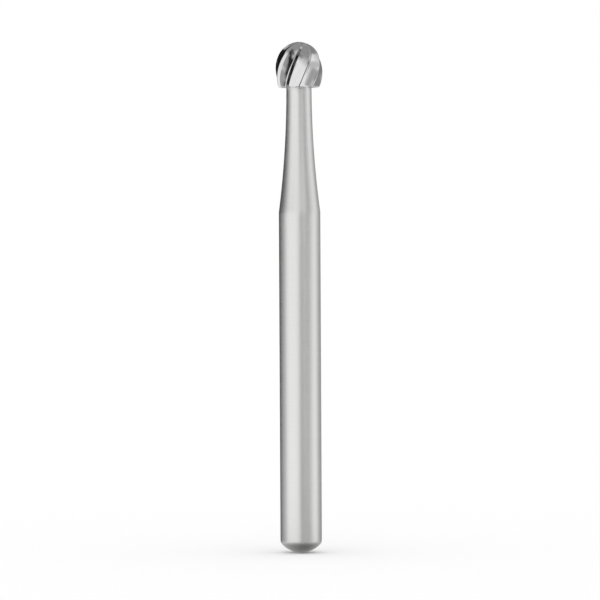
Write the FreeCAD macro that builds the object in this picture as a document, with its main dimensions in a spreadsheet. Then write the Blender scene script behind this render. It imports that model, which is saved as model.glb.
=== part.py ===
"""Small carbide burr: a fluted tungsten carbide head butt-brazed to a turned steel shank.

Millimetres, +Z up along the axis of rotation. The origin is the lowest point of the shank's
domed end, so the shank stands on Z = 0 and the head is at the top.
"""
import FreeCAD
import Part
import math
import os

import Sketcher
from FreeCAD import Matrix, Placement, Vector

doc = FreeCAD.newDocument("carbide_burr")

# Driving dimensions. Each row is a name, its value and what it measures.
DIMENSIONS = [
    ("shank_diameter", 1.60, "ground shank that the collet grips"),
    ("shank_length", 13.14, "domed end to the corner where the neck starts"),
    ("end_dome_height", 0.40, "rise of the domed end to where it would meet the straight wall"),
    ("end_corner_round", 0.26, "radius that blends the dome into the wall"),
    ("neck_length", 4.80, "shank corner to the brazed joint"),
    ("neck_diameter", 0.972, "thinnest part of the neck, at the brazed joint"),
    ("head_diameter", 1.82, "over the cutting edges at the widest place"),
    ("heel_length", 0.66, "brazed joint to the widest place of the head"),
    ("nose_length", 1.10, "widest place to the tip of the head"),
    ("back_taper", 0.125, "how far the side draws in from the widest place to the back face"),
    ("crown_blend_angle", 25.0, "slope at which the side arc turns into the nose arc, degrees"),
    ("back_corner_round", 0.04, "radius on the rim of the head's back face"),
    ("blade_count", 9, "helical blades round the head"),
    ("first_blade_angle", 8.2, "first cutting edge from +X at the widest place, degrees"),
    ("helix_angle", 22.0, "blade against the axis at the widest place, right-hand, degrees"),
    ("flute_depth", 0.075, "edge to gullet floor at the widest place"),
    ("rake_angle", 56.0, "lean of the rake face ahead of the radial line, degrees"),
    ("gullet_radius", 0.05, "round at the foot of the rake face"),
    ("back_face_radius", 2.4, "hollow that the grinding wheel leaves in the flute's back face"),
    ("land_width", 0.035, "margin left behind each cutting edge"),
    ("grinding_clearance", 0.15, "how far the flute's grinding wheel stands out of the blank"),
]

# The grinding path leaves the blank this many degrees of slope beyond the back face.
PATH_OVERRUN = 12.0
# The path climbs to this slope, just short of the pole, where it lifts out of the crown.
PATH_END = 83.0
STATION_COUNT = 12
PATH_STEP = math.radians(0.25)

sheet = doc.addObject("Spreadsheet::Sheet", "Dims")
for row, (name, value, note) in enumerate(DIMENSIONS, start=1):
    sheet.set(f"A{row}", name)
    sheet.set(f"B{row}", str(value))
    sheet.setAlias(f"B{row}", name)
    sheet.set(f"C{row}", note)
doc.recompute()


def size(name):
    return float(sheet.get(name))


# Shared construction steps

def origin_feature(body, role):
    return next(item for item in body.Origin.OriginFeatures if item.Role == role)


def new_sketch(body, plane, name):
    sketch = body.newObject("Sketcher::SketchObject", name)
    sketch.AttachmentSupport = [(origin_feature(body, plane), "")]
    sketch.MapMode = "FlatFace"
    return sketch


def dimension(sketch, kind, *where, name, expression):
    """Adds a dimension that follows the sheet. Where ends with a first guess of its value."""
    index = sketch.addConstraint(Sketcher.Constraint(kind, *where))
    sketch.renameConstraint(index, name)
    sketch.setExpression(f"Constraints.{name}", expression)


def arc(centre_x, centre_y, radius, start, end):
    circle = Part.Circle(Vector(centre_x, centre_y, 0), Vector(0, 0, 1), radius)
    return Part.ArcOfCircle(circle, start, end)


def line(start, end):
    return Part.LineSegment(Vector(start[0], start[1], 0), Vector(end[0], end[1], 0))


def revolve(body, sketch, name):
    feature = body.newObject("PartDesign::Revolution", name)
    feature.Profile = sketch
    feature.ReferenceAxis = (sketch, ["V_Axis"])
    feature.Angle = 360
    doc.recompute()
    return feature


def circular_edge(shape, radius, height):
    """Name of the circular edge of this radius at this height above the body's origin."""
    for number, edge in enumerate(shape.Edges, start=1):
        if edge.Degenerated or not isinstance(edge.Curve, Part.Circle):
            continue
        circle = edge.Curve
        if abs(circle.Radius - radius) < 1e-5 and abs(circle.Center.z - height) < 1e-5:
            return f"Edge{number}"
    raise ValueError(f"no circular edge of radius {radius} at height {height}")


def round_edge(body, feature, edge, name, expression):
    fillet = body.newObject("PartDesign::Fillet", name)
    fillet.Base = (feature, [edge])
    fillet.setExpression("Radius", expression)
    doc.recompute()
    return fillet


# Steel shank: ground bar with a domed end, its top turned down to a slender concave neck

def build_shank():
    radius = size("shank_diameter") / 2
    neck_radius = size("neck_diameter") / 2
    corner = size("shank_length")
    neck = size("neck_length")
    joint = corner + neck
    dome = size("end_dome_height")
    dome_radius = (radius ** 2 + dome ** 2) / (2 * dome)
    dome_end = math.asin((dome - dome_radius) / dome_radius)
    step = radius - neck_radius
    sweep_radius = (neck ** 2 + step ** 2) / (2 * step)
    sweep = math.asin(neck / sweep_radius)

    body = doc.addObject("PartDesign::Body", "steel_shank")
    body.Label = "steel_shank"
    profile = new_sketch(body, "XZ_Plane", "shank_profile")
    profile.addGeometry(
        [
            arc(0, dome_radius, dome_radius, -math.pi / 2, dome_end),
            line((radius, dome), (radius, corner)),
            arc(neck_radius + sweep_radius, joint, sweep_radius, math.pi, math.pi + sweep),
            line((neck_radius, joint), (0, joint)),
            line((0, joint), (0, 0)),
        ],
        False,
    )
    DOME, WALL, NECK, TOP, AXIS = range(5)
    profile.addConstraint(
        [
            Sketcher.Constraint("Coincident", DOME, 1, -1, 1),
            Sketcher.Constraint("Coincident", DOME, 2, WALL, 1),
            Sketcher.Constraint("Coincident", WALL, 2, NECK, 2),
            Sketcher.Constraint("Coincident", NECK, 1, TOP, 1),
            Sketcher.Constraint("Coincident", TOP, 2, AXIS, 1),
            Sketcher.Constraint("Coincident", AXIS, 2, DOME, 1),
            Sketcher.Constraint("PointOnObject", DOME, 3, -2),
            Sketcher.Constraint("PointOnObject", TOP, 2, -2),
            Sketcher.Constraint("Vertical", WALL),
            Sketcher.Constraint("Horizontal", TOP),
            Sketcher.Constraint("Horizontal", NECK, 3, NECK, 1),
        ]
    )
    dimension(profile, "DistanceX", -1, 1, WALL, 1, radius,
              name="shank_radius", expression="Dims.shank_diameter / 2")
    dimension(profile, "DistanceY", -1, 1, DOME, 2, dome,
              name="dome_height", expression="Dims.end_dome_height")
    dimension(profile, "DistanceY", -1, 1, WALL, 2, corner,
              name="shank_height", expression="Dims.shank_length")
    dimension(profile, "DistanceY", WALL, 2, NECK, 1, neck,
              name="neck_height", expression="Dims.neck_length")
    dimension(profile, "DistanceX", -1, 1, NECK, 1, neck_radius,
              name="neck_radius", expression="Dims.neck_diameter / 2")

    bar = revolve(body, profile, "turned_bar")
    corner_edge = circular_edge(bar.Shape, radius, dome)
    round_edge(body, bar, corner_edge, "end_corner", "Dims.end_corner_round")
    return body


# Head blank: three arcs in one outline, spun solid, with a flat back face for the joint

class HeadOutline:
    """Outline of the head's blank. A slope is the lift of its outward normal, in radians:
    zero at the widest place, a right angle at the tip and negative towards the back face."""

    def __init__(self):
        self.radius = size("head_diameter") / 2
        self.heel = size("heel_length")
        self.nose = size("nose_length")
        self.taper = size("back_taper")
        self.blend = math.radians(size("crown_blend_angle"))
        self.back_radius = self.radius - self.taper
        self.barrel = (self.taper ** 2 + self.heel ** 2) / (2 * self.taper)
        spread = math.sin(self.blend) + math.cos(self.blend) - 1
        between_centres = (self.nose - self.radius) / spread
        self.side = self.radius + between_centres * math.cos(self.blend)
        self.crown = self.side - between_centres
        self.crown_centre = self.heel + self.nose - self.crown
        self.back_slope = -math.asin(self.heel / self.barrel)

    def at(self, slope):
        """Radius, height above the back face and radius of the arc at this slope."""
        if slope < 0:
            bend = self.barrel
        elif slope < self.blend:
            bend = self.side
        else:
            return (
                self.crown * math.cos(slope),
                self.crown_centre + self.crown * math.sin(slope),
                self.crown,
            )
        return (
            self.radius - bend + bend * math.cos(slope),
            self.heel + bend * math.sin(slope),
            bend,
        )


def build_blank(body, outline):
    profile = new_sketch(body, "XZ_Plane", "blank_profile")
    blend_x, blend_y, _ = outline.at(outline.blend)
    side_centre_x = outline.radius - outline.side
    tip = outline.heel + outline.nose
    profile.addGeometry(
        [
            line((0, 0), (outline.back_radius, 0)),
            arc(outline.radius - outline.barrel, outline.heel, outline.barrel,
                outline.back_slope, 0),
            arc(side_centre_x, outline.heel, outline.side, 0, outline.blend),
            arc(0, outline.crown_centre, outline.crown, outline.blend, math.pi / 2),
            line((0, tip), (0, 0)),
        ],
        False,
    )
    profile.addGeometry(line((side_centre_x, outline.heel), (blend_x, blend_y)), True)
    BACK, BARREL, SIDE, CROWN, AXIS, BLEND = range(6)
    profile.addConstraint(
        [
            Sketcher.Constraint("Coincident", BACK, 1, -1, 1),
            Sketcher.Constraint("Horizontal", BACK),
            Sketcher.Constraint("Coincident", BACK, 2, BARREL, 1),
            Sketcher.Constraint("Coincident", BARREL, 2, SIDE, 1),
            Sketcher.Constraint("Horizontal", BARREL, 3, BARREL, 2),
            Sketcher.Constraint("Horizontal", SIDE, 3, SIDE, 1),
            Sketcher.Constraint("Tangent", SIDE, 2, CROWN, 1),
            Sketcher.Constraint("PointOnObject", CROWN, 3, -2),
            Sketcher.Constraint("Coincident", CROWN, 2, AXIS, 1),
            Sketcher.Constraint("PointOnObject", AXIS, 1, -2),
            Sketcher.Constraint("Coincident", AXIS, 2, -1, 1),
            Sketcher.Constraint("Coincident", BLEND, 1, SIDE, 3),
            Sketcher.Constraint("Coincident", BLEND, 2, SIDE, 2),
        ]
    )
    dimension(profile, "DistanceX", -1, 1, BARREL, 2, outline.radius,
              name="head_radius", expression="Dims.head_diameter / 2")
    dimension(profile, "DistanceY", -1, 1, BARREL, 2, outline.heel,
              name="heel_height", expression="Dims.heel_length")
    dimension(profile, "DistanceX", BARREL, 1, BARREL, 2, outline.taper,
              name="taper", expression="Dims.back_taper")
    dimension(profile, "DistanceY", BARREL, 2, CROWN, 2, outline.nose,
              name="nose_height", expression="Dims.nose_length")
    dimension(profile, "Angle", BLEND, outline.blend,
              name="blend", expression="Dims.crown_blend_angle * 1 deg")

    blank = revolve(body, profile, "blank")
    rim = circular_edge(blank.Shape, outline.back_radius, 0)
    return round_edge(body, blank, rim, "back_rim", "Dims.back_corner_round")


# Flute: a grinding path that keeps one helix angle over the whole outline of the head

def path_turn(outline, slope):
    """Angle round the axis, from +X, that the path has reached at this slope."""
    steps = max(1, math.ceil(abs(slope) / PATH_STEP))
    step = slope / steps
    turned = math.radians(size("first_blade_angle"))
    for index in range(steps):
        radius, _, bend = outline.at((index + 0.5) * step)
        turned += math.tan(math.radians(size("helix_angle"))) * bend * step / radius
    return turned


def station_placement(outline, slope, lift):
    """Plane square to the path: X across the flute the way the blade cuts, Y out of the head."""
    radius, height, _ = outline.at(slope)
    turn = path_turn(outline, slope)
    helix = math.radians(size("helix_angle"))
    radial = Vector(math.cos(turn), math.sin(turn), 0)
    around = Vector(-math.sin(turn), math.cos(turn), 0)
    axis = Vector(0, 0, 1)
    outward = radial * math.cos(slope) + axis * math.sin(slope)
    climb = axis * math.cos(slope) - radial * math.sin(slope)
    across = around * math.cos(helix) - climb * math.sin(helix)
    normal = across.cross(outward)
    base = radial * radius + axis * height + outward * lift
    return Placement(
        Matrix(
            across.x, outward.x, normal.x, base.x,
            across.y, outward.y, normal.y, base.y,
            across.z, outward.z, normal.z, base.z,
            0, 0, 0, 1,
        )
    )


def heel_of_next_blade(outline, slope):
    """Where the flute's back face comes up at the next blade's land, in the station's plane."""
    radius, _, bend = outline.at(slope)
    share = radius / outline.radius
    helix = math.radians(size("helix_angle"))
    pitch = 2 * math.pi * outline.radius / size("blade_count") * math.cos(helix)
    along = share * (pitch - size("land_width"))
    curvature = math.cos(helix) ** 2 * math.cos(slope) / radius + math.sin(helix) ** 2 / bend
    return math.sin(along * curvature) / curvature, (math.cos(along * curvature) - 1) / curvature


def flute_section(body, outline, slope, lift, name):
    """Section of one flute: rake face, round gullet and hollow back face up to the next blade's
    land, closed outside the blank. The gullet and the back face are two arcs that run on."""
    share = outline.at(slope)[0] / outline.radius
    rake = math.radians(size("rake_angle"))
    round_radius = size("gullet_radius") * share
    clearance = size("grinding_clearance") * share
    heel_x, heel_y = heel_of_next_blade(outline, slope)
    centre_y = round_radius - size("flute_depth") * share
    centre_x = (round_radius - centre_y * math.sin(rake)) / math.cos(rake)
    back_radius = size("back_face_radius") * share
    reach = math.hypot(heel_x - centre_x, heel_y - centre_y)
    apart = back_radius - round_radius
    opening = math.acos((reach ** 2 + apart ** 2 - back_radius ** 2) / (2 * reach * apart))
    towards = math.atan2(heel_y - centre_y, heel_x - centre_x) + opening
    back_x = centre_x + apart * math.cos(towards)
    back_y = centre_y + apart * math.sin(towards)
    joined = towards + math.pi
    at_heel = math.atan2(heel_y - back_y, heel_x - back_x) + 2 * math.pi
    past_heel = at_heel + clearance / back_radius
    foot = (centre_x - round_radius * math.cos(rake), centre_y - round_radius * math.sin(rake))
    outer = (
        back_x + back_radius * math.cos(past_heel),
        back_y + back_radius * math.sin(past_heel),
    )
    above = (-clearance * math.tan(rake), clearance)

    sketch = new_sketch(body, "XY_Plane", name)
    sketch.AttachmentOffset = station_placement(outline, slope, lift)
    sketch.addGeometry(
        [
            line(above, foot),
            arc(centre_x, centre_y, round_radius, math.pi + rake, joined),
            arc(back_x, back_y, back_radius, joined, past_heel),
            line(outer, above),
        ],
        False,
    )
    sketch.addGeometry(Part.Point(Vector(heel_x, heel_y, 0)), True)
    RAKE, GULLET, BACK, OUTSIDE, HEEL = range(5)
    sketch.addConstraint(
        [
            Sketcher.Constraint("Tangent", RAKE, 2, GULLET, 1),
            Sketcher.Constraint("Tangent", GULLET, 2, BACK, 1),
            Sketcher.Constraint("Coincident", BACK, 2, OUTSIDE, 1),
            Sketcher.Constraint("Coincident", OUTSIDE, 2, RAKE, 1),
            Sketcher.Constraint("PointOnObject", -1, 1, RAKE),
            Sketcher.Constraint("PointOnObject", HEEL, 1, BACK),
            Sketcher.Constraint("DistanceX", -1, 1, HEEL, 1, heel_x),
            Sketcher.Constraint("DistanceY", HEEL, 1, -1, 1, -heel_y),
            Sketcher.Constraint("DistanceX", HEEL, 1, BACK, 2, outer[0] - heel_x),
        ]
    )
    dimension(sketch, "Angle", RAKE, rake - math.pi / 2,
              name="rake", expression="(Dims.rake_angle - 90) * 1 deg")
    dimension(sketch, "Radius", GULLET, round_radius,
              name="gullet", expression=f"Dims.gullet_radius * {share:.9f}")
    dimension(sketch, "Radius", BACK, back_radius,
              name="hollow", expression=f"Dims.back_face_radius * {share:.9f}")
    dimension(sketch, "DistanceY", GULLET, 3, -1, 1, -centre_y,
              name="depth", expression=f"(Dims.flute_depth - Dims.gullet_radius) * {share:.9f}")
    dimension(sketch, "DistanceY", -1, 1, RAKE, 1, clearance,
              name="clearance", expression=f"Dims.grinding_clearance * {share:.9f}")
    return sketch


def build_head():
    outline = HeadOutline()
    body = doc.addObject("PartDesign::Body", "carbide_head")
    body.Label = "carbide_head"
    blank = build_blank(body, outline)
    blank_volume = blank.Shape.Volume

    first = outline.back_slope - math.radians(PATH_OVERRUN)
    last = math.radians(PATH_END)
    sections = []
    for index in range(STATION_COUNT):
        slope = first + (last - first) * index / (STATION_COUNT - 1)
        ends_here = index == STATION_COUNT - 1
        share = outline.at(slope)[0] / outline.radius
        lift = 1.2 * size("flute_depth") * share if ends_here else 0.0
        sections.append(flute_section(body, outline, slope, lift, f"flute_section_{index + 1}"))
    doc.recompute()

    flute = body.newObject("PartDesign::SubtractiveLoft", "flute")
    flute.Profile = sections[0]
    flute.Sections = sections[1:]
    flute.Ruled = False
    doc.recompute()

    blades = body.newObject("PartDesign::PolarPattern", "blades")
    blades.Originals = [flute]
    blades.Axis = (origin_feature(body, "Z_Axis"), [""])
    blades.Angle = 360
    blades.setExpression("Occurrences", "Dims.blade_count")
    body.Tip = blades
    doc.recompute()
    print(f"blank {blank_volume:.4f} mm3, fluted {body.Shape.Volume:.4f} mm3")

    body.setExpression("Placement.Base.z", "Dims.shank_length + Dims.neck_length")
    return body


pieces = [build_shank(), build_head()]
doc.recompute()

# Nothing is written unless every step is sound
for item in doc.Objects:
    if {"Invalid", "Error"} & set(item.State):
        raise RuntimeError(f"{item.Name}: {item.State}")
for piece in pieces:
    if piece.Shape.isNull() or not piece.Shape.isValid() or len(piece.Shape.Solids) != 1:
        raise RuntimeError(f"{piece.Label} isn't one valid solid")
    box = piece.Shape.optimalBoundingBox(False)
    print(f"{piece.Label}: {piece.Shape.Volume:.4f} mm3, {box.XLength:.3f} x {box.YLength:.3f}"
          f" mm, Z {box.ZMin:.3f} to {box.ZMax:.3f}")

os.makedirs("parts", exist_ok=True)
for piece in pieces:
    piece.Shape.exportStep(f"parts/{piece.Label}.step")
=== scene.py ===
import math

import bmesh
import bpy
from mathutils import Matrix, Vector


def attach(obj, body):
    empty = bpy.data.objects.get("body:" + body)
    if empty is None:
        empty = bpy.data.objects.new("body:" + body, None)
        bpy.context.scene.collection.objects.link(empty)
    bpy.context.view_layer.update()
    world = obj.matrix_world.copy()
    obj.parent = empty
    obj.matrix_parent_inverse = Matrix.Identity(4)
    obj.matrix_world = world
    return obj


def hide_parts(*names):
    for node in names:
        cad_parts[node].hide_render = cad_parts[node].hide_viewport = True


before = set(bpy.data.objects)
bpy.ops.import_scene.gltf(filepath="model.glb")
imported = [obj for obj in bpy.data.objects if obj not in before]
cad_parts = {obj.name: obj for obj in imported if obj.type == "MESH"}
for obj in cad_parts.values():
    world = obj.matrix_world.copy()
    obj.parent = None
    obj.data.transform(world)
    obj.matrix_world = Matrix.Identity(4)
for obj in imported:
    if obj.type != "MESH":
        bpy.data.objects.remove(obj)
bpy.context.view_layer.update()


# The steel shank
# One stainless bar: a ground cylinder for the chuck, a domed end, and a slender neck turned to a
# long concave arc. It is finish-ground round the axis, which leaves fine rings in a satin surface.

# Sizes are in millimetres, and MM makes metres of them. Points closer than SAME_POINT become one.
MM = 0.001
SAME_POINT = 1e-5
SAME_HEIGHT = 1e-4
SHANK_RADIUS = 0.80
SHANK_LENGTH = 13.14
DOME_HEIGHT = 0.40
DOME_CORNER_ROUND = 0.26
NECK_LENGTH = 4.80
NECK_RADIUS = 0.486
NECK_BLEND = 0.12
DOME_STEPS = 24
CORNER_STEPS = 12
NECK_STEPS = 48
LATHE_STEPS = 224
# The darker steel tone is painted shade in the grooves of the grinding lines, and the brighter one is
# their crests.
STEEL_GROOVE_SHADE = (0.82, 0.817, 0.81, 1.0)
STEEL_BRIGHT = (0.91, 0.907, 0.90, 1.0)
STEEL_LINES = (1200, 1200, 40000)
STEEL_LINE_DEPTH = 0.0005
STEEL_SMOOTHEST = 0.37
STEEL_ROUGHEST = 0.47
STEEL_BRUSHED = 0.3
QUARTER_TURN = 0.25
LINE_DETAIL = 3.0
LINE_CRISPNESS = 0.6
LINE_FLOOR = 0.3
LINE_CREST = 0.7
# The places of a Mix node's colour sockets, which share their names with its other sockets.
MIX_GROOVE_SHADE = 6
MIX_BRIGHT = 7
MIX_RESULT = 2


def point_at(bm, radius, height):
    return bm.verts.new((radius * MM, 0, height * MM))


def turn_point(bm, point, centre, angle, steps):
    """Draws an arc with a point of the outline, about a centre in the XZ plane, and returns its end."""
    arc = bmesh.ops.spin(
        bm, geom=[point], cent=(centre[0] * MM, 0, centre[1] * MM), axis=(0, 1, 0),
        angle=angle, steps=steps,
    )
    return next(item for item in arc["geom_last"] if isinstance(item, bmesh.types.BMVert))


def draw_line(bm, point, radius, height):
    line = bmesh.ops.extrude_vert_indiv(bm, verts=[point])
    line["verts"][0].co = (radius * MM, 0, height * MM)
    return line["verts"][0]


def turn_on_lathe(bm, steps):
    """Spins the outline that the mesh holds into a closed solid of revolution about Z."""
    bmesh.ops.spin(
        bm, geom=bm.verts[:] + bm.edges[:], cent=(0, 0, 0), axis=(0, 0, 1),
        angle=math.tau, steps=steps, use_merge=True,
    )
    bmesh.ops.remove_doubles(bm, verts=bm.verts, dist=SAME_POINT * MM)
    bmesh.ops.recalc_face_normals(bm, faces=bm.faces)


def piece_from(bm, name, material):
    mesh = bpy.data.meshes.new(name)
    bm.to_mesh(mesh)
    bm.free()
    mesh.materials.append(material)
    piece = bpy.data.objects.new(name, mesh)
    bpy.context.scene.collection.objects.link(piece)
    return piece


def new_material(name):
    material = bpy.data.materials.new(name)
    material.use_nodes = True
    nodes = material.node_tree.nodes
    return material, nodes, material.node_tree.links, nodes["Principled BSDF"]


def grinding_lines_group():
    """Fine lines that a grinding wheel leaves: their height, and how rough the metal is in them.
    Count is the number of lines in a metre along each axis of Place."""
    group = bpy.data.node_groups.new("grinding_lines", "ShaderNodeTree")
    for name, kind, way in (
        ("Place", "NodeSocketVector", "INPUT"), ("Count", "NodeSocketVector", "INPUT"),
        ("Smoothest", "NodeSocketFloat", "INPUT"), ("Roughest", "NodeSocketFloat", "INPUT"),
        ("Height", "NodeSocketFloat", "OUTPUT"), ("Roughness", "NodeSocketFloat", "OUTPUT"),
    ):
        group.interface.new_socket(name, in_out=way, socket_type=kind)
    nodes, links = group.nodes, group.links
    given = nodes.new("NodeGroupInput").outputs
    counted = nodes.new("ShaderNodeVectorMath")
    counted.operation = "MULTIPLY"
    links.new(given["Place"], counted.inputs[0])
    links.new(given["Count"], counted.inputs[1])
    lines = nodes.new("ShaderNodeTexNoise")
    lines.inputs["Scale"].default_value = 1.0
    lines.inputs["Detail"].default_value = LINE_DETAIL
    lines.inputs["Roughness"].default_value = LINE_CRISPNESS
    links.new(counted.outputs["Vector"], lines.inputs["Vector"])
    rough = nodes.new("ShaderNodeMapRange")
    rough.inputs["From Min"].default_value = LINE_FLOOR
    rough.inputs["From Max"].default_value = LINE_CREST
    links.new(lines.outputs["Fac"], rough.inputs["Value"])
    links.new(given["Smoothest"], rough.inputs["To Min"])
    links.new(given["Roughest"], rough.inputs["To Max"])
    answer = nodes.new("NodeGroupOutput").inputs
    links.new(lines.outputs["Fac"], answer["Height"])
    links.new(rough.outputs["Result"], answer["Roughness"])
    return group


def ground_metal(name, place_node, place_output, count, smoothest, roughest, groove_shade, bright, depth):
    """A bare metal with grinding lines: their bump and roughness, and painted shade in its base colour,
    darker in the grooves of the lines and bright between them.
    """
    material, nodes, links, surface = new_material(name)
    place = nodes.new(place_node)
    lines = nodes.new("ShaderNodeGroup")
    lines.node_tree = grinding_lines
    links.new(place.outputs[place_output], lines.inputs["Place"])
    lines.inputs["Count"].default_value = count
    lines.inputs["Smoothest"].default_value = smoothest
    lines.inputs["Roughest"].default_value = roughest
    # Painted shade: the base colour takes the darker tone where the lines sink in.
    tone = nodes.new("ShaderNodeMix")
    tone.data_type = "RGBA"
    links.new(lines.outputs["Height"], tone.inputs["Factor"])
    tone.inputs[MIX_GROOVE_SHADE].default_value = groove_shade
    tone.inputs[MIX_BRIGHT].default_value = bright
    relief = nodes.new("ShaderNodeBump")
    relief.inputs["Distance"].default_value = depth * MM
    links.new(lines.outputs["Height"], relief.inputs["Height"])
    surface.inputs["Metallic"].default_value = 1.0
    links.new(tone.outputs[MIX_RESULT], surface.inputs["Base Color"])
    links.new(lines.outputs["Roughness"], surface.inputs["Roughness"])
    links.new(relief.outputs["Normal"], surface.inputs["Normal"])
    return material, place


def ground_steel():
    """The rings run round the axis, so the gloss is drawn out across them."""
    material, _ = ground_metal(
        "ground_steel", "ShaderNodeTexCoord", "Object", STEEL_LINES, STEEL_SMOOTHEST,
        STEEL_ROUGHEST, STEEL_GROOVE_SHADE, STEEL_BRIGHT, STEEL_LINE_DEPTH,
    )
    nodes = material.node_tree.nodes
    surface = nodes["Principled BSDF"]
    surface.inputs["Anisotropic"].default_value = STEEL_BRUSHED
    surface.inputs["Anisotropic Rotation"].default_value = QUARTER_TURN
    round_axis = nodes.new("ShaderNodeTangent")
    round_axis.direction_type = "RADIAL"
    round_axis.axis = "Z"
    material.node_tree.links.new(round_axis.outputs["Tangent"], surface.inputs["Tangent"])
    return material


grinding_lines = grinding_lines_group()
steel = ground_steel()
joint_height = SHANK_LENGTH + NECK_LENGTH
dome_radius = (SHANK_RADIUS ** 2 + DOME_HEIGHT ** 2) / (2 * DOME_HEIGHT)
neck_step = SHANK_RADIUS - NECK_RADIUS
neck_bend = (NECK_LENGTH ** 2 + neck_step ** 2) / (2 * neck_step)

inner_radius = SHANK_RADIUS - DOME_CORNER_ROUND
corner_height = dome_radius - math.sqrt(
    (dome_radius - DOME_CORNER_ROUND) ** 2 - inner_radius ** 2
)
dome_turn = math.asin(inner_radius / (dome_radius - DOME_CORNER_ROUND))
corner_turn = math.pi / 2 - dome_turn
neck_turn = math.asin(NECK_LENGTH / neck_bend)

bar = bmesh.new()
tip = point_at(bar, 0, 0)
end = turn_point(bar, tip, (0, dome_radius), -dome_turn, DOME_STEPS)
end = turn_point(bar, end, (inner_radius, corner_height), -corner_turn, CORNER_STEPS)
end = draw_line(bar, end, SHANK_RADIUS, SHANK_LENGTH - NECK_BLEND)
end = draw_line(bar, end, SHANK_RADIUS, SHANK_LENGTH)
end = turn_point(bar, end, (NECK_RADIUS + neck_bend, joint_height), neck_turn, NECK_STEPS)
draw_line(bar, end, 0, joint_height)
turn_on_lathe(bar, LATHE_STEPS)
for face in bar.faces:
    face.smooth = True
for edge in bar.edges:
    edge.smooth = not all(abs(vert.co.z / MM - joint_height) < SAME_HEIGHT for vert in edge.verts)
shank = piece_from(bar, "shank", steel)
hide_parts("steel_shank")
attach(shank, "root")


# The carbide head
# One solid piece of cemented tungsten carbide, ground to an egg shape with nine right-hand blades
# and polished. Its flat back face is butt-brazed to the top of the steel neck.

# The blank is widest at HEEL_LENGTH from its back face and at NOSE_LENGTH from its tip. The long
# bend of its side runs into the crown's round where the outline has turned by BLEND_ANGLE.
HEAD_RADIUS = 0.91
HEEL_LENGTH = 0.66
NOSE_LENGTH = 1.10
BACK_TAPER = 0.125
BLEND_ANGLE = math.radians(25)
BACK_CORNER_ROUND = 0.04
BLADE_COUNT = 9
FIRST_BLADE = math.radians(8.2)
HELIX = math.radians(22)
# A flute's section, square to the helix: a rake face that leans back from the cutting edge, a round
# gullet, the hollow back of the blade, and a narrow land before the next edge.
FLUTE_DEPTH = 0.075
RAKE = math.radians(56)
GULLET_ROUND = 0.05
BACK_BEND = 2.4
LAND_WIDTH = 0.035
RAKE_STEPS = 4
GULLET_STEPS = 6
BACK_STEPS = 12
LAND_STEPS = 3
# The mesh grows in rings, from RUN_OUT past the back face, where it is cut off again, to CROWN_END.
# The flutes get shallow from FADE_START and are gone at FADE_END.
RINGS = 132
HELIX_STEP = math.radians(0.25)
RUN_OUT = math.radians(12)
CROWN_END = math.radians(88.5)
FADE_START = math.radians(74)
FADE_END = math.radians(86)
SHARP_EDGE = math.radians(20)
ON_THE_CUT = 1e-6
# The darker carbide tone is painted shade in the grooves of the grinding lines, and the brighter one is
# their crests.
CARBIDE_GROOVE_SHADE = (0.66, 0.66, 0.67, 1.0)
CARBIDE_BRIGHT = (0.84, 0.84, 0.845, 1.0)
CARBIDE_LINES = (18000, 18000, 1200)
CARBIDE_LINE_DEPTH = 0.0013
CARBIDE_SMOOTHEST = 0.04
CARBIDE_ROUGHEST = 0.13
BARREL_BEND = (BACK_TAPER ** 2 + HEEL_LENGTH ** 2) / (2 * BACK_TAPER)
CENTRES_APART = (NOSE_LENGTH - HEAD_RADIUS) / (math.sin(BLEND_ANGLE) + math.cos(BLEND_ANGLE) - 1)
SIDE_BEND = HEAD_RADIUS + CENTRES_APART * math.cos(BLEND_ANGLE)
CROWN_BEND = SIDE_BEND - CENTRES_APART


def outline(slope):
    """Radius, height and bend of the head where its outward normal is lifted by slope."""
    widest = joint_height + HEEL_LENGTH
    if slope >= BLEND_ANGLE:
        centre = widest + NOSE_LENGTH - CROWN_BEND
        return (
            CROWN_BEND * math.cos(slope), centre + CROWN_BEND * math.sin(slope), CROWN_BEND,
        )
    bend = BARREL_BEND if slope < 0 else SIDE_BEND
    return HEAD_RADIUS - bend + bend * math.cos(slope), widest + bend * math.sin(slope), bend


def bearing(way):
    """The angle of a way in the plane of the section, from 0 to a whole turn."""
    return math.atan2(way.y, way.x) % math.tau


def arc_points(centre, radius, start, finish, steps):
    """Points of an arc from its start bearing to its finish, with both ends."""
    turns = (start + (finish - start) * step / steps for step in range(steps + 1))
    return [centre + radius * Vector((math.cos(turn), math.sin(turn))) for turn in turns]


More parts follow.
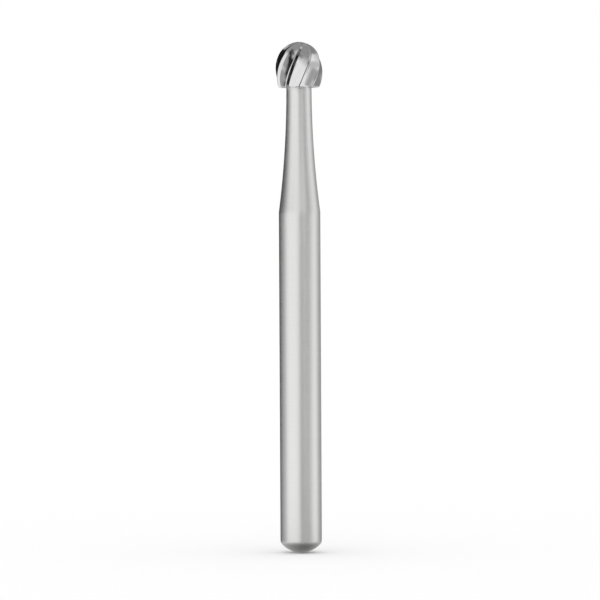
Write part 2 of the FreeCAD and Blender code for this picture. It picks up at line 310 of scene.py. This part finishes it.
def tooth_section():
    """One pitch of the head's section, cutting edge first: angle round the axis and depth."""
    pitch = math.tau * HEAD_RADIUS / BLADE_COUNT * math.cos(HELIX)
    curvature = math.cos(HELIX) ** 2 / HEAD_RADIUS + math.sin(HELIX) ** 2 / SIDE_BEND
    heel_turn = (pitch - LAND_WIDTH) * curvature
    heel = Vector((math.sin(heel_turn), math.cos(heel_turn) - 1)) / curvature
    centre_y = GULLET_ROUND - FLUTE_DEPTH
    centre = Vector(((GULLET_ROUND - centre_y * math.sin(RAKE)) / math.cos(RAKE), centre_y))
    to_heel = heel - centre
    apart = to_heel.length
    inner = BACK_BEND - GULLET_ROUND
    opening = math.acos((apart ** 2 + inner ** 2 - BACK_BEND ** 2) / (2 * apart * inner))
    towards = bearing(to_heel) + opening
    back_centre = centre + inner * Vector((math.cos(towards), math.sin(towards)))
    meeting = bearing(centre - back_centre)
    gullet = arc_points(centre, GULLET_ROUND, math.pi + RAKE, meeting, GULLET_STEPS)
    back = arc_points(back_centre, BACK_BEND, meeting, bearing(heel - back_centre), BACK_STEPS)
    points = [Vector((0, 0)).lerp(gullet[0], step / RAKE_STEPS) for step in range(RAKE_STEPS)]
    points += gullet
    points += back[1:]
    section = []
    for point in points:
        middle = point + Vector((0, 1 / curvature))
        along = math.atan2(middle.x, middle.y) / curvature
        section.append((along / (HEAD_RADIUS * math.cos(HELIX)), 1 / curvature - middle.length))
    heel_place = section[-1][0]
    land = math.tau / BLADE_COUNT - heel_place
    section += [(heel_place + land * step / LAND_STEPS, 0.0) for step in range(1, LAND_STEPS)]
    return section


def rim_round(above):
    """How far the rounded rim of the back face lies inside the plain outline, at a height above it."""
    short = min(1.0, max(0.0, 1 - above / BACK_CORNER_ROUND))
    return BACK_CORNER_ROUND * (1 - math.sqrt(1 - short ** 2))


def helix_turn_at(slope):
    """How far the first blade has turned round the axis where it passes a slope below the widest."""
    turn = FIRST_BLADE
    reached = 0.0
    while reached > slope:
        radius, _, bend = outline(reached)
        turn -= math.tan(HELIX) * bend * HELIX_STEP / radius
        reached -= HELIX_STEP
    return turn


def grind_flutes(bm):
    """Grows the fluted head ring by ring along its outline, each ring turned on by the helix. The
    untwisted layer keeps each point's place as if the blades ran straight up."""
    turn_layer = bm.verts.layers.float.new("turn")
    depth_layer = bm.verts.layers.float.new("depth")
    untwisted_layer = bm.verts.layers.float_vector.new("untwisted")
    section = tooth_section()
    ring = []
    for blade in range(BLADE_COUNT):
        for turn, depth in section:
            vert = bm.verts.new()
            vert[turn_layer] = turn + blade * math.tau / BLADE_COUNT
            vert[depth_layer] = depth
            ring.append(vert)
    edges = [bm.edges.new((ring[i - 1], ring[i])) for i in range(len(ring))]
    first = -math.asin(HEEL_LENGTH / BARREL_BEND) - RUN_OUT
    step = (CROWN_END - first) / RINGS
    climb = 0.0
    helix_turn = helix_turn_at(first)
    for count in range(RINGS + 1):
        slope = first + step * count
        radius, height, _ = outline(slope)
        share = radius / HEAD_RADIUS
        fade = min(1.0, max(0.0, (FADE_END - slope) / (FADE_END - FADE_START)))
        if count:
            grown = bmesh.ops.extrude_edge_only(bm, edges=edges)["geom"]
            ring = [item for item in grown if isinstance(item, bmesh.types.BMVert)]
            edges = [item for item in grown if isinstance(item, bmesh.types.BMEdge)]
            edges = [edge for edge in edges if len(edge.link_faces) == 1]
            middle_radius, _, middle_bend = outline(slope - step / 2)
            helix_turn += math.tan(HELIX) * middle_bend * step / middle_radius
            climb += middle_bend * step / math.cos(HELIX)
        for vert in ring:
            inward = vert[depth_layer] * share * fade
            straight = vert[turn_layer]
            around = helix_turn + straight
            level = height - inward * math.sin(slope)
            out = radius - inward * math.cos(slope) - rim_round(level - joint_height)
            vert.co = (out * math.cos(around) * MM, out * math.sin(around) * MM, level * MM)
            vert[untwisted_layer] = (
                out * math.cos(straight) * MM, out * math.sin(straight) * MM, climb * MM,
            )
    bmesh.ops.contextual_create(bm, geom=edges)


def polished_carbide():
    """The lines follow the flutes, because their place is read as if the blades ran straight up."""
    material, place = ground_metal(
        "polished_carbide", "ShaderNodeAttribute", "Vector", CARBIDE_LINES, CARBIDE_SMOOTHEST,
        CARBIDE_ROUGHEST, CARBIDE_GROOVE_SHADE, CARBIDE_BRIGHT, CARBIDE_LINE_DEPTH,
    )
    place.attribute_name = "untwisted"
    return material


carbide = polished_carbide()
blank = bmesh.new()
grind_flutes(blank)
cut = bmesh.ops.bisect_plane(
    blank, geom=blank.verts[:] + blank.edges[:] + blank.faces[:], dist=ON_THE_CUT * MM,
    plane_co=(0, 0, joint_height * MM), plane_no=(0, 0, 1), clear_inner=True,
)
rim = [item for item in cut["geom_cut"] if isinstance(item, bmesh.types.BMEdge)]
bmesh.ops.contextual_create(blank, geom=rim)
bmesh.ops.recalc_face_normals(blank, faces=blank.faces)
for face in blank.faces:
    face.smooth = True
for edge in blank.edges:
    edge.smooth = edge.calc_face_angle(0.0) < SHARP_EDGE
head = piece_from(blank, "head", carbide)
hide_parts("carbide_head")
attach(head, "root")


# The light tent
# A round white tent stands about the burr, with soft grey and black flags on its cloth, so that the
# bright metal has light and dark to mirror. Nothing but the metal sees it.

TENT_RADIUS = 400
TENT_MIDDLE = 18.6
TENT_STEPS_AROUND = 96
TENT_STEPS_UP = 48
# Each flag's left and right turn, 0 at the camera and 90 on the right; its bottom and top lift; how
# far it leans to the right with each degree of lift; its grey; and the width of its soft edge. A
# turn past 180 or a lift past 90 puts that edge out of the way. Later flags hang over earlier ones.
FLAGS = {
    "roof": (-400, 400, 38, 200, 0, 0.34, 32),
    "ground": (-400, 400, -200, -50, 0, 0.25, 14),
    "back left low grey": (-200, -108, -22, -6, 0, 0.42, 14),
    "left grey": (-122, -86, -22, 6, 0, 0.42, 12),
    "left leaning grey": (-104, -82, 6, 62, 0.82, 0.4, 10),
    "left high pale": (-130, -92, 44, 59, 0, 0.66, 8),
    "left high dark": (-88, -60, 46, 70, 0, 0.12, 10),
    "front left high dark": (-30, -9, 36, 60, 0, 0.25, 8),
    "front left leaning grey": (-61, -51, 7, 40, 0.94, 0.48, 6),
    "back left high grey": (-200, -120, 27, 62, 0, 0.33, 14),
    "left high black": (-115, -101, 30, 66, 0.82, 0.03, 8),
    "left leaning black": (-142, -101.5, 1, 38, 0.82, 0.015, 8),
    "back left black": (-200, -120, -9, 33, 0, 0.01, 9),
    "back left low black": (-200, -133, -14, 0, 0, 0.03, 6),
    "front black": (0, 18, -50, 12, 0.3, 0.06, 10),
    "right leaning grey": (48, 70, -34, 16, 0.9, 0.42, 12),
    "right leaning dark": (39, 50, -5, 17, 0.9, 0.3, 8),
    "right leaning black": (31, 43, -52, 27, 0.8, 0.002, 6),
    "right high black": (11, 24, 22, 42, 1.75, 0.1, 5),
    "front right high dark": (16, 60, 33, 46, 0, 0.17, 14),
    "right pale": (70, 90, 2, 30, 0, 0.62, 8),
    "back right low grey": (104, 200, -26, 6, 0, 0.3, 20),
    "back right high grey": (118, 200, 10, 46, 0, 0.28, 16),
    "back right dark": (135, 200, -8, 16, 0, 0.24, 16),
}


def add_math(nodes, links, operation, first, second):
    step = nodes.new("ShaderNodeMath")
    step.operation = operation
    for value, socket in ((first, step.inputs[0]), (second, step.inputs[1])):
        if isinstance(value, (int, float)):
            socket.default_value = value
        else:
            links.new(value, socket)
    return step.outputs["Value"]


def soft_flag_group():
    """Mask of a flag with soft edges, from a turn round the tent and a lift, all in degrees."""
    group = bpy.data.node_groups.new("soft_flag", "ShaderNodeTree")
    for name in ("Turn", "Lift", "Left", "Right", "Bottom", "Top", "Lean", "Softness"):
        group.interface.new_socket(name, in_out="INPUT", socket_type="NodeSocketFloat")
    group.interface.new_socket("Mask", in_out="OUTPUT", socket_type="NodeSocketFloat")
    nodes, links = group.nodes, group.links
    given = nodes.new("NodeGroupInput").outputs
    leaning = add_math(nodes, links, "MULTIPLY", given["Lift"], given["Lean"])
    upright = add_math(nodes, links, "SUBTRACT", given["Turn"], leaning)
    mask = 1.0
    for place, edge, way in (
        (upright, "Left", 1), (upright, "Right", -1), (given["Lift"], "Bottom", 1),
        (given["Lift"], "Top", -1),
    ):
        past = add_math(nodes, links, "SUBTRACT", place, given[edge])
        share = nodes.new("ShaderNodeMapRange")
        links.new(add_math(nodes, links, "DIVIDE", past, given["Softness"]), share.inputs["Value"])
        share.inputs["From Min"].default_value = -way / 2
        share.inputs["From Max"].default_value = way / 2
        mask = add_math(nodes, links, "MULTIPLY", mask, share.outputs["Result"])
    links.new(mask, nodes.new("NodeGroupOutput").inputs["Mask"])
    return group


def turn_and_lift(nodes, links):
    """Where a point of the tent lies, seen from its middle, in degrees round and up."""
    place = nodes.new("ShaderNodeTexCoord")
    facing = nodes.new("ShaderNodeMapping")
    facing.inputs["Location"].default_value = (0, 0, -TENT_MIDDLE * MM)
    facing.inputs["Rotation"].default_value = (0, 0, math.pi / 2)
    links.new(place.outputs["Object"], facing.inputs["Vector"])
    around = nodes.new("ShaderNodeTexGradient")
    around.gradient_type = "RADIAL"
    links.new(facing.outputs["Vector"], around.inputs["Vector"])
    share = add_math(nodes, links, "SUBTRACT", around.outputs["Fac"], 0.5)
    turn = add_math(nodes, links, "MULTIPLY", share, 360.0)
    direction = nodes.new("ShaderNodeVectorMath")
    direction.operation = "NORMALIZE"
    links.new(facing.outputs["Vector"], direction.inputs["Vector"])
    axes = nodes.new("ShaderNodeSeparateXYZ")
    links.new(direction.outputs["Vector"], axes.inputs["Vector"])
    climb = add_math(nodes, links, "ARCSINE", axes.outputs["Z"], 0.0)
    return turn, add_math(nodes, links, "MULTIPLY", climb, math.degrees(1.0))


def glow_with(material, nodes, links, tone):
    """Makes a material glow with a tone of grey, which is mirrored but never sampled as a lamp."""
    glow = nodes.new("ShaderNodeEmission")
    links.new(tone, glow.inputs["Color"])
    links.new(glow.outputs["Emission"], nodes["Material Output"].inputs["Surface"])
    material.cycles.emission_sampling = "NONE"


def tent_cloth():
    material, nodes, links, surface = new_material("tent_cloth")
    nodes.remove(surface)
    turn, lift = turn_and_lift(nodes, links)
    soft_flag = soft_flag_group()
    grey = 1.0
    for label, (left, right, bottom, top, lean, tone, softness) in FLAGS.items():
        flag = nodes.new("ShaderNodeGroup")
        flag.label = label
        flag.node_tree = soft_flag
        links.new(turn, flag.inputs["Turn"])
        links.new(lift, flag.inputs["Lift"])
        for name, value in (
            ("Left", left), ("Right", right), ("Bottom", bottom), ("Top", top),
            ("Lean", lean), ("Softness", softness),
        ):
            flag.inputs[name].default_value = value
        short = add_math(nodes, links, "SUBTRACT", tone, grey)
        change = add_math(nodes, links, "MULTIPLY", flag.outputs["Mask"], short)
        grey = add_math(nodes, links, "ADD", grey, change)
    glow_with(material, nodes, links, grey)
    return material


def seen_by_metal_only(piece):
    piece.visible_camera = False
    piece.visible_diffuse = False
    piece.visible_shadow = False


tent_mesh = bmesh.new()
bmesh.ops.create_uvsphere(
    tent_mesh, u_segments=TENT_STEPS_AROUND, v_segments=TENT_STEPS_UP, radius=TENT_RADIUS * MM,
)
bmesh.ops.translate(tent_mesh, verts=tent_mesh.verts, vec=(0, 0, TENT_MIDDLE * MM))
seen_by_metal_only(piece_from(tent_mesh, "light_tent", tent_cloth()))


# The card under the dome
# A small round card lies just below the domed end, dark in the middle and lighter to its rim. It glows
# with a painted reflection of the shade under the burr, which the dome mirrors in place of the shaded
# floor. As with the tent, only the metal sees it.

CARD_RADIUS = 4.5
CARD_PLACE = Vector((0.4, -0.8, -1.0))
CARD_DARK_RADIUS = 0.6
CARD_MIDDLE_GREY = 0.12
CARD_RIM_GREY = 0.6
CARD_STEPS = 96


# Painted shade: a glowing grey, darkest just under the tip, that stands in for the shadowed floor in
# the dome's reflection.
def mirrored_shade_card():
    material, nodes, links, surface = new_material("mirrored_shade_card")
    nodes.remove(surface)
    place = nodes.new("ShaderNodeTexCoord")
    centred = nodes.new("ShaderNodeMapping")
    centred.inputs["Location"].default_value = -CARD_PLACE * MM
    links.new(place.outputs["Object"], centred.inputs["Vector"])
    away = nodes.new("ShaderNodeVectorMath")
    away.operation = "LENGTH"
    links.new(centred.outputs["Vector"], away.inputs["Vector"])
    tone = nodes.new("ShaderNodeMapRange")
    links.new(away.outputs["Value"], tone.inputs["Value"])
    tone.inputs["From Min"].default_value = CARD_DARK_RADIUS * MM
    tone.inputs["From Max"].default_value = CARD_RADIUS * MM
    tone.inputs["To Min"].default_value = CARD_MIDDLE_GREY
    tone.inputs["To Max"].default_value = CARD_RIM_GREY
    glow_with(material, nodes, links, tone.outputs["Result"])
    return material


card_mesh = bmesh.new()
bmesh.ops.create_circle(card_mesh, cap_ends=True, segments=CARD_STEPS, radius=CARD_RADIUS * MM)
bmesh.ops.translate(card_mesh, verts=card_mesh.verts, vec=CARD_PLACE * MM)
seen_by_metal_only(piece_from(card_mesh, "card", mirrored_shade_card()))


# The floor and the white surround
# A matt white sheet lies under the burr and takes its shadow, and an even white light comes from
# all round. The metal mirrors the tent and the card in place of the sheet.

FLOOR_REACH = 2000
WHITE = (1.0, 1.0, 1.0, 1.0)


def matt_white():
    material, nodes, links, surface = new_material("pale_floor")
    nodes.remove(surface)
    matt = nodes.new("ShaderNodeBsdfDiffuse")
    matt.inputs["Color"].default_value = WHITE
    links.new(matt.outputs["BSDF"], nodes["Material Output"].inputs["Surface"])
    return material


floor_mesh = bmesh.new()
bmesh.ops.create_grid(floor_mesh, x_segments=1, y_segments=1, size=FLOOR_REACH * MM)
floor = piece_from(floor_mesh, "floor", matt_white())
floor.visible_glossy = False

world = bpy.data.worlds.new("white_surround")
bpy.context.scene.world = world
world.use_nodes = True
surround = world.node_tree.nodes["Background"].inputs
surround["Color"].default_value = WHITE
surround["Strength"].default_value = 1.0


# The camera
# It stands in front of the burr, a little above its middle, and looks slightly down on it. The burr
# leans a touch in the picture, which is the camera's roll.

CAMERA_AIM = Vector((0, 0, 9.76))
CAMERA_PLACE = Vector((0, -160, 14.5))
CAMERA_ROLL = math.radians(-0.29)
LENS = 249
SENSOR_WIDTH = 36
NEAREST_SEEN = 10

camera = bpy.data.objects.new("camera", bpy.data.cameras.new("camera"))
bpy.context.scene.collection.objects.link(camera)
bpy.context.scene.camera = camera
camera.data.lens = LENS
camera.data.sensor_width = SENSOR_WIDTH
camera.data.clip_start = NEAREST_SEEN * MM
camera.location = CAMERA_PLACE * MM
look = (CAMERA_AIM - CAMERA_PLACE).to_track_quat("-Z", "Y").to_matrix().to_4x4()
camera.rotation_euler = (look @ Matrix.Rotation(CAMERA_ROLL, 4, "Z")).to_euler()
bpy.context.scene.view_settings.view_transform = "Standard"
